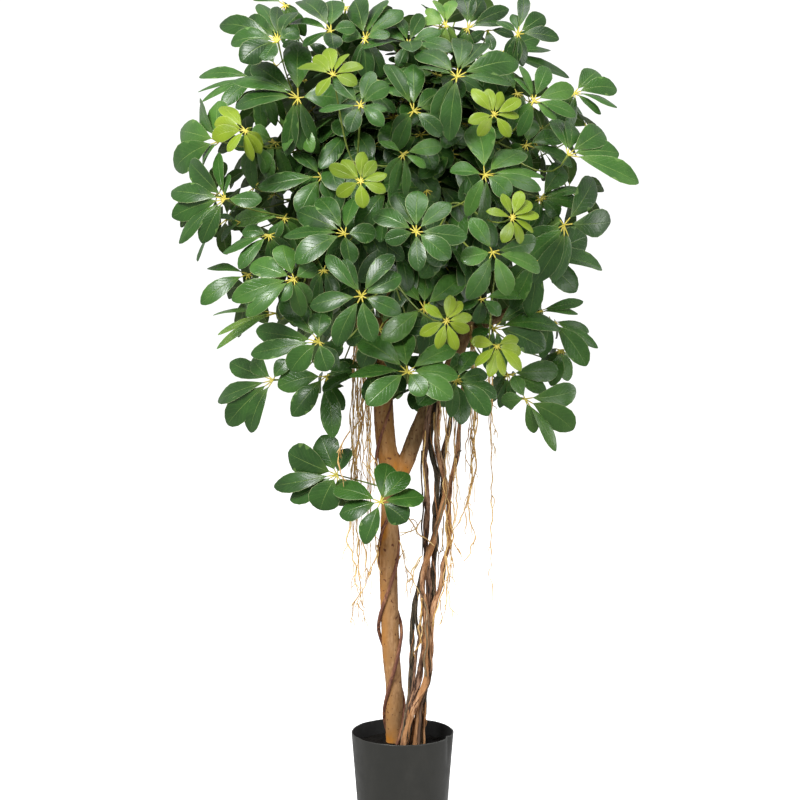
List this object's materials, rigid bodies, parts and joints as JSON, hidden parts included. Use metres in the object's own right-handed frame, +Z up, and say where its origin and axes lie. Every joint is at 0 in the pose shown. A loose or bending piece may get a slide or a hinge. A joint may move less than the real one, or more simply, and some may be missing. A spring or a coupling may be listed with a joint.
{
  "type": "potted umbrella plant",
  "caption": "Tall indoor umbrella plant in a round nursery pot: forked trunk with two twining vines, woody lianas, hanging aerial roots and a crown of hand-shaped leaves.",
  "frame": {"origin": "middle of the flat underside of the pot", "axes": "+Z up along the trunk, +X to the right as seen from the front, -Y towards the viewer at the front"},
  "size_m": [0.7621, 0.6202, 1.4802],
  "materials": {
    "black_plastic": "satin",
    "potting_soil": "matte",
    "trunk_bark": "matte",
    "vine_bark": "matte",
    "brown_bark": "matte",
    "dark_bark": "matte",
    "aerial_root": "matte",
    "green_leaf": "satin",
    "young_leaf": "satin"
  },
  "bodies": {
    "root": {"pot": "black_plastic", "soil": "potting_soil", "trunk": "trunk_bark", "twining_vine_1": "vine_bark", "twining_vine_2": "vine_bark", "liana_1": "brown_bark", "liana_2": "dark_bark", "liana_3": "dark_bark", "liana_4": "brown_bark", "liana_5": "dark_bark", "aerial_root_1": "aerial_root", "aerial_root_2": "aerial_root", "aerial_root_3": "aerial_root", "aerial_root_4": "aerial_root", "aerial_root_5": "aerial_root", "leafy_stem_1": "green_leaf", "leafy_stem_2": "green_leaf", "leafy_stem_3": "green_leaf", "leafy_stem_4": "green_leaf", "leafy_stem_5": "green_leaf", "leafy_stem_6": "green_leaf", "leafy_stem_7": "green_leaf", "leafy_stem_8": "green_leaf", "leafy_stem_9": "green_leaf", "leafy_stem_10": "green_leaf", "leafy_stem_11": "green_leaf", "leafy_stem_12": "green_leaf", "leafy_stem_13": "green_leaf", "leafy_stem_14": "green_leaf", "leafy_stem_15": "green_leaf", "leafy_stem_16": "green_leaf", "leafy_stem_17": "green_leaf", "leafy_stem_18": "green_leaf", "leafy_stem_19": "green_leaf", "young_leaf_1": "young_leaf", "young_leaf_2": "young_leaf", "young_leaf_3": "young_leaf", "young_leaf_4": "young_leaf", "young_leaf_5": "young_leaf", "young_leaf_6": "young_leaf", "young_leaf_7": "young_leaf"}
  },
  "joints": []
}
